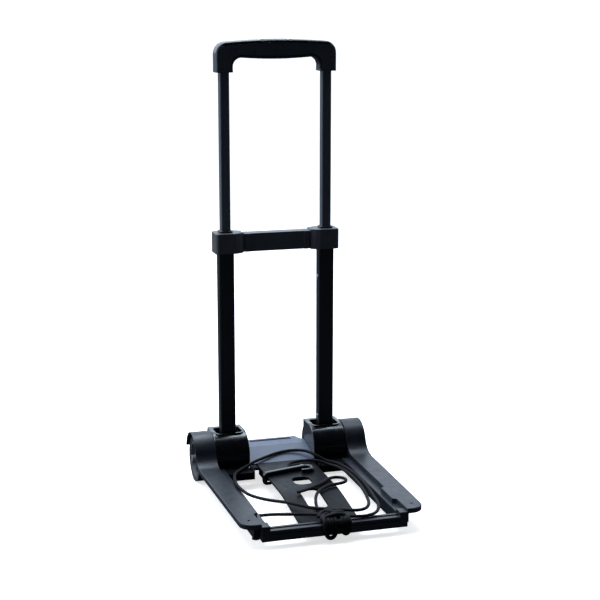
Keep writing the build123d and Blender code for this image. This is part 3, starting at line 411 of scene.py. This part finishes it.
def shank_section(share):
    """The shank's section: flat and wide, thinner in the claw at its left end."""
    thin = max(0.0, share - 0.68) / 0.32
    return rounded_section(11.0 - 1.5 * thin, 8.8 - 3.8 * min(1.0, 2 * thin))


def bend_section(share):
    """The bend's section, a little slimmer towards its free end."""
    return rounded_section(10.0 - 2.5 * share, 8.8 - 1.2 * share)


SHANK_SPINE = [
    (30, -118.2, 49.9), (10, -123.2, 49.9), (-10, -128.2, 49.9), (-30, -133.2, 49.9), (-48, -138.0, 49.9),
    (-59, -141.0, 49.9), (-65.4, -143.0, 49.6), (-65.6, -143.4, 41.0), (-65.6, -143.6, 33.0),
    (-65.2, -143.8, 29.6), (-60, -143.8, 29.5), (-53.5, -143.8, 29.8),
]
BEND_SPINE = [
    (20, -115.8, 49.9), (30, -118.0, 49.9), (40, -121.6, 49.9), (42.6, -131.0, 49.9), (39, -140.6, 49.9),
    (29, -144.2, 49.9), (15.5, -142.6, 49.9),
]
shank_line = nurbs_line("shank_line", SHANK_SPINE, 14)
hook = solid_mesh("cord_hook", sweep_section(shank_line, shank_section, False), HOOK)
bend_line = nurbs_line("bend_line", BEND_SPINE, 16)
hook_bend = solid_mesh("cord_hook_bend", sweep_section(bend_line, bend_section, True), HOOK)
for piece in (hook, hook_bend):
    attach(piece, "platform")
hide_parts("bungee_hook")

# ---------------------------------------------------------------- CAD nodes' finishes
FINISHES = {
    "wing": MOULDED, "side_rail": MOULDED, "deck": DECK, "front_bar": BAR, "rear_panel": PANEL,
    "mid_bracket": BRACKET, "socket": GLOSS, "outer_tube": OUTER, "inner_tube": INNER,
    "tube_guide": NYLON, "guide_plug": NYLON, "plug_base": NYLON, "release_yoke": NYLON,
    "hinge_pin": STEEL, "lock_bushes": STEEL, "axle": STEEL, "push_rod": STEEL, "lock_pin": STEEL,
    "lock_spring": SPRING, "button_springs": SPRING, "tube_screws": SCREW, "panel_screws": SCREW,
    "wing_screws": SCREW, "grip_screws": SCREW, "hub": HUB, "axle_cap": HUB, "tyre": TYRE,
    "front_feet": FOOT, "release_button": BUTTON, "grip_body": GRIP, "grip_cap": CAP,
    "grip_underside": TRIM, "bungee_cord": BRAID, "bungee_tail": BRAID, "bungee_knot": BRAID,
    "bungee_hook": HOOK,
}
for name, node in NODES.items():
    kind = name
    for side in SIDES:
        kind = kind.removeprefix(side + "_")
    for slot in node.material_slots:
        slot.material = FINISHES[kind]
    if not node.material_slots:
        node.data.materials.append(FINISHES[kind])

# ---------------------------------------------------------------- floor and light
floor_mesh = bmesh.new()
bmesh.ops.create_grid(floor_mesh, x_segments=1, y_segments=1, size=60.0)
floor_data = bpy.data.meshes.new("floor")
floor_mesh.to_mesh(floor_data)
floor_mesh.free()
floor = bpy.data.objects.new("floor", floor_data)
bpy.context.scene.collection.objects.link(floor)
paper = Nodes("floor_paper")
paper_tone = paper.spread(paper.noise(0.8, 2.0), 0.0, 1.0)
paper_white = paper.mix(paper_tone, (0.95, 0.955, 0.965), (0.97, 0.975, 0.985))
paper.shader.inputs["Roughness"].default_value = 0.9
paper.shader.inputs["Specular IOR Level"].default_value = 0.1
paper.shader.inputs["Emission Color"].default_value = (1.0, 1.0, 1.0, 1.0)
seen = paper.add("ShaderNodeMath", operation="MULTIPLY")
seen_ray = paper.add("ShaderNodeLightPath").outputs["Is Camera Ray"]
paper.join(seen_ray, seen.inputs[0])
seen.inputs[1].default_value = 0.66
paper.join(paper.mix(seen_ray, (0.05, 0.055, 0.065), paper_white), paper.shader.inputs["Base Color"])
paper.join(seen.outputs["Value"], paper.shader.inputs["Emission Strength"])
floor_data.materials.append(paper.material)


def soft_light(name, place, aim, size, power, colour=(1.0, 1.0, 1.0)):
    """A square soft light at place, turned towards aim, both in metres."""
    light = bpy.data.lights.new(name, "AREA")
    light.shape = "RECTANGLE"
    light.size, light.size_y = size
    light.energy = power
    light.color = colour
    holder = bpy.data.objects.new(name, light)
    holder.location = place
    holder.rotation_euler = (Vector(aim) - Vector(place)).to_track_quat("-Z", "Y").to_euler()
    bpy.context.scene.collection.objects.link(holder)


soft_light("top_light", (-0.3, 0.9, 3.0), (0.0, 0.1, 0.3), (2.6, 2.2), 110.0, (0.76, 0.87, 1.0))
soft_light("left_light", (-2.6, 0.5, 1.5), (0.0, 0.1, 0.5), (1.6, 2.4), 30.0, (0.92, 0.96, 1.0))
soft_light("right_light", (2.6, 0.2, 1.6), (0.0, 0.1, 0.5), (1.2, 2.2), 9.0, (0.95, 0.97, 1.0))

world = bpy.data.worlds.new("studio")
bpy.context.scene.world = world
world.use_nodes = True
tree = world.node_tree
tree.nodes.clear()
output = tree.nodes.new("ShaderNodeOutputWorld")
white = tree.nodes.new("ShaderNodeBackground")
white.inputs["Color"].default_value = (1.0, 1.0, 1.0, 1.0)
white.inputs["Strength"].default_value = 1.05
room = tree.nodes.new("ShaderNodeBackground")
room.inputs["Strength"].default_value = 1.5
ramp = tree.nodes.new("ShaderNodeValToRGB")
ramp.color_ramp.elements[0].position = 0.38
ramp.color_ramp.elements[0].color = (0.004, 0.005, 0.007, 1.0)
ramp.color_ramp.elements[1].position = 0.80
ramp.color_ramp.elements[1].color = (0.74, 0.86, 1.0, 1.0)
place = tree.nodes.new("ShaderNodeTexCoord")
split = tree.nodes.new("ShaderNodeSeparateXYZ")
half = tree.nodes.new("ShaderNodeMath")
half.operation = "MULTIPLY_ADD"
half.inputs[1].default_value = 0.5
half.inputs[2].default_value = 0.5
rays = tree.nodes.new("ShaderNodeLightPath")
choose = tree.nodes.new("ShaderNodeMixShader")
tree.links.new(place.outputs["Generated"], split.inputs[0])
tree.links.new(split.outputs["Y"], half.inputs[0])
tree.links.new(half.outputs[0], ramp.inputs["Fac"])
tree.links.new(ramp.outputs["Color"], room.inputs["Color"])
tree.links.new(rays.outputs["Is Camera Ray"], choose.inputs["Fac"])
tree.links.new(room.outputs[0], choose.inputs[1])
tree.links.new(white.outputs[0], choose.inputs[2])
tree.links.new(choose.outputs[0], output.inputs["Surface"])

scene = bpy.context.scene
scene.view_settings.view_transform = "Standard"
scene.view_settings.look = "None"
